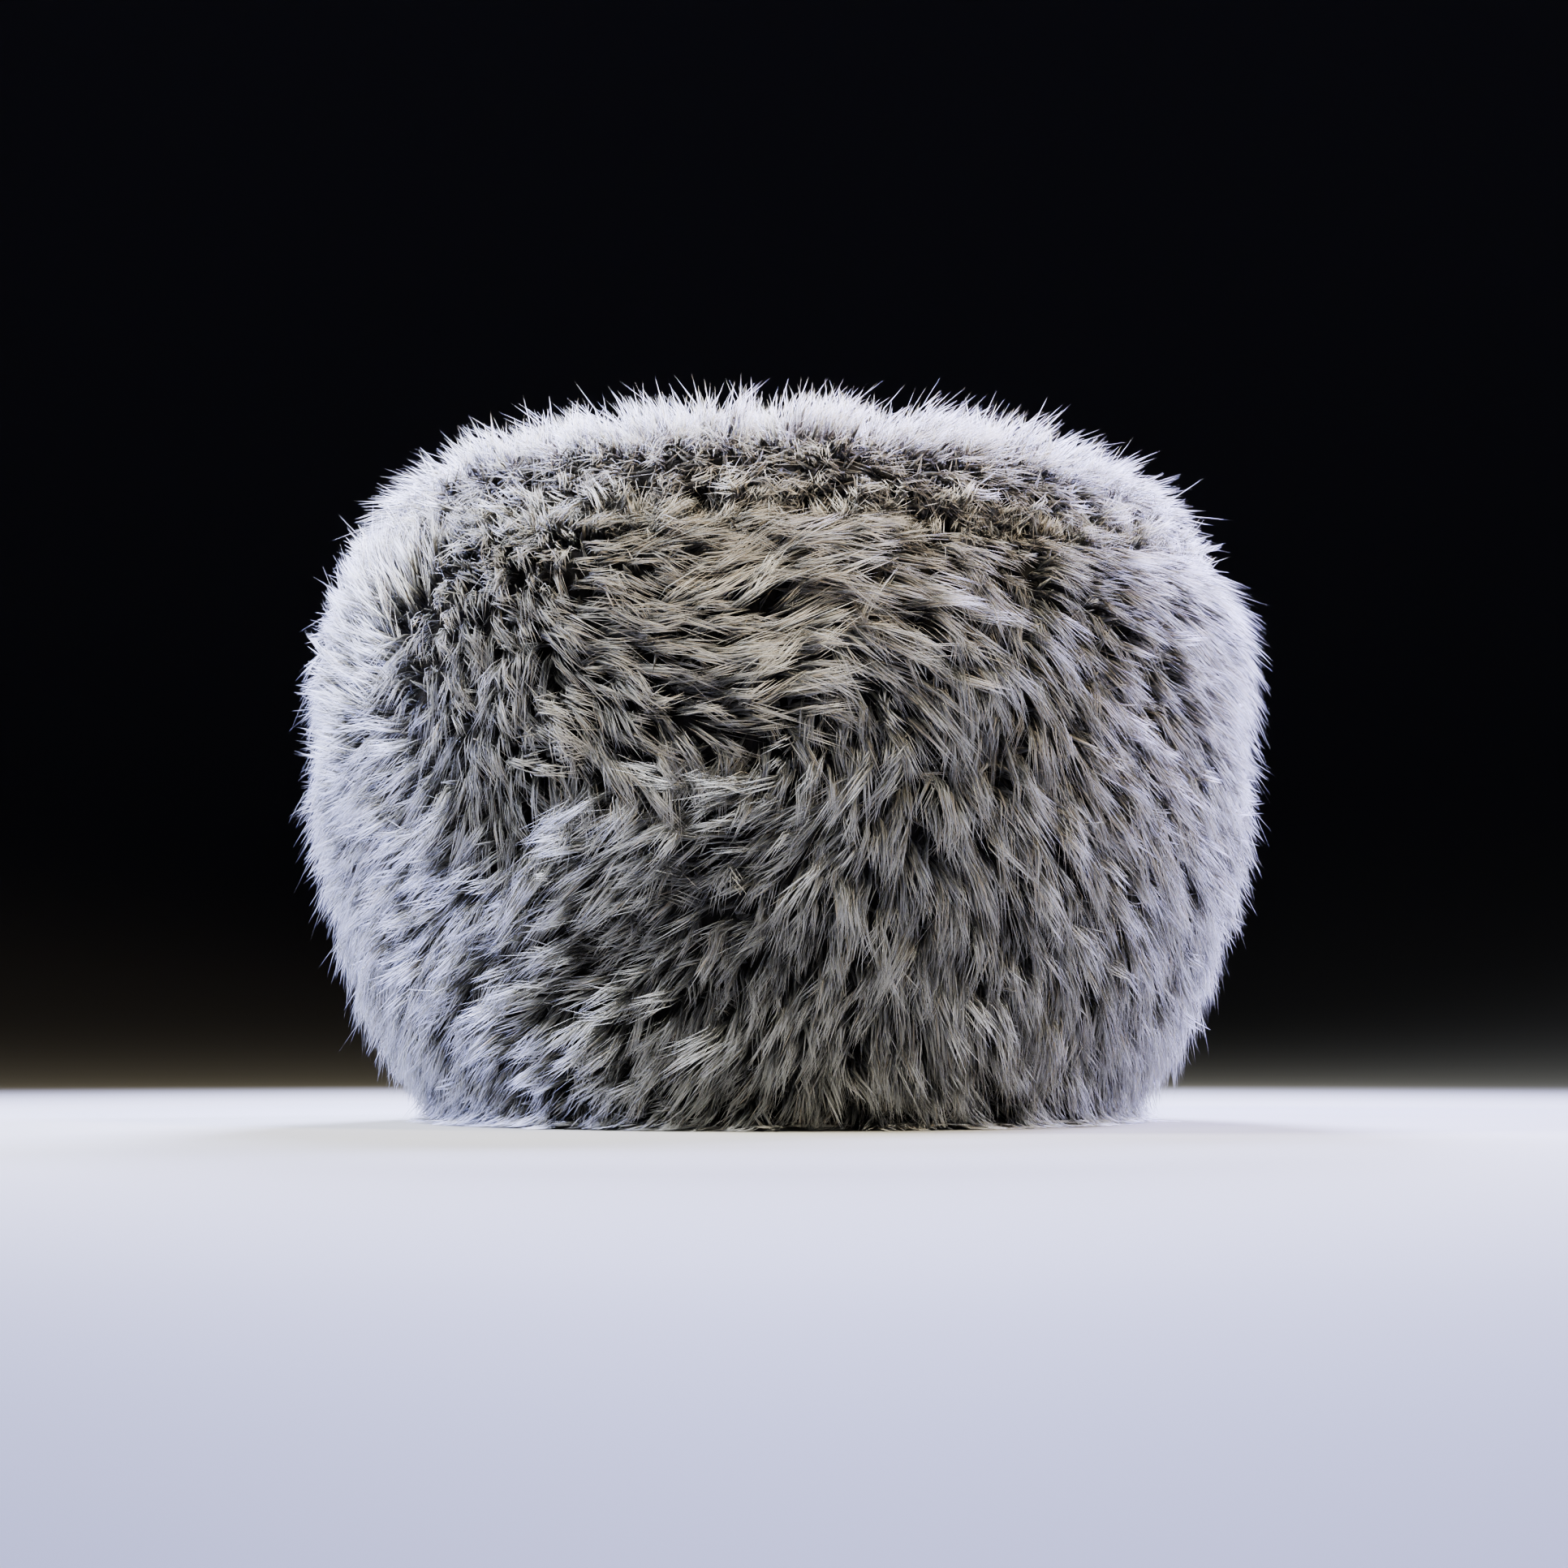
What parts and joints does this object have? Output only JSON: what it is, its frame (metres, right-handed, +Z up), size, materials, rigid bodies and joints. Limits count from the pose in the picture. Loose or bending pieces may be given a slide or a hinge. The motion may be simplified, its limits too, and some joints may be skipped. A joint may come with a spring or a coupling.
{
  "type": "long-pile fur pillbox hat",
  "caption": "Very full round pillbox hat of long-pile grey fur, with a fur side band turned in at the rim and a domed fur crown, standing on its rim.",
  "frame": {"origin": "on the floor under the middle of the hat, at the centre of the bottom of its box", "axes": "+Z up through the crown, -Y out of the front of the hat, +X to the wearer's left"},
  "size_m": [0.423, 0.4371, 0.3075],
  "materials": {
    "pile_side": "long silver-grey pile with dark roots",
    "pile_crown": "long silver-grey pile with dark roots, paler towards its tips",
    "backing": "matte knitted backing cloth"
  },
  "bodies": {
    "root": {"side_band": "backing", "rim_band": "backing", "crown_top": "backing", "side_fur": "pile_side", "rim_fur": "pile_side", "crown_fur": "pile_crown"}
  },
  "joints": []
}
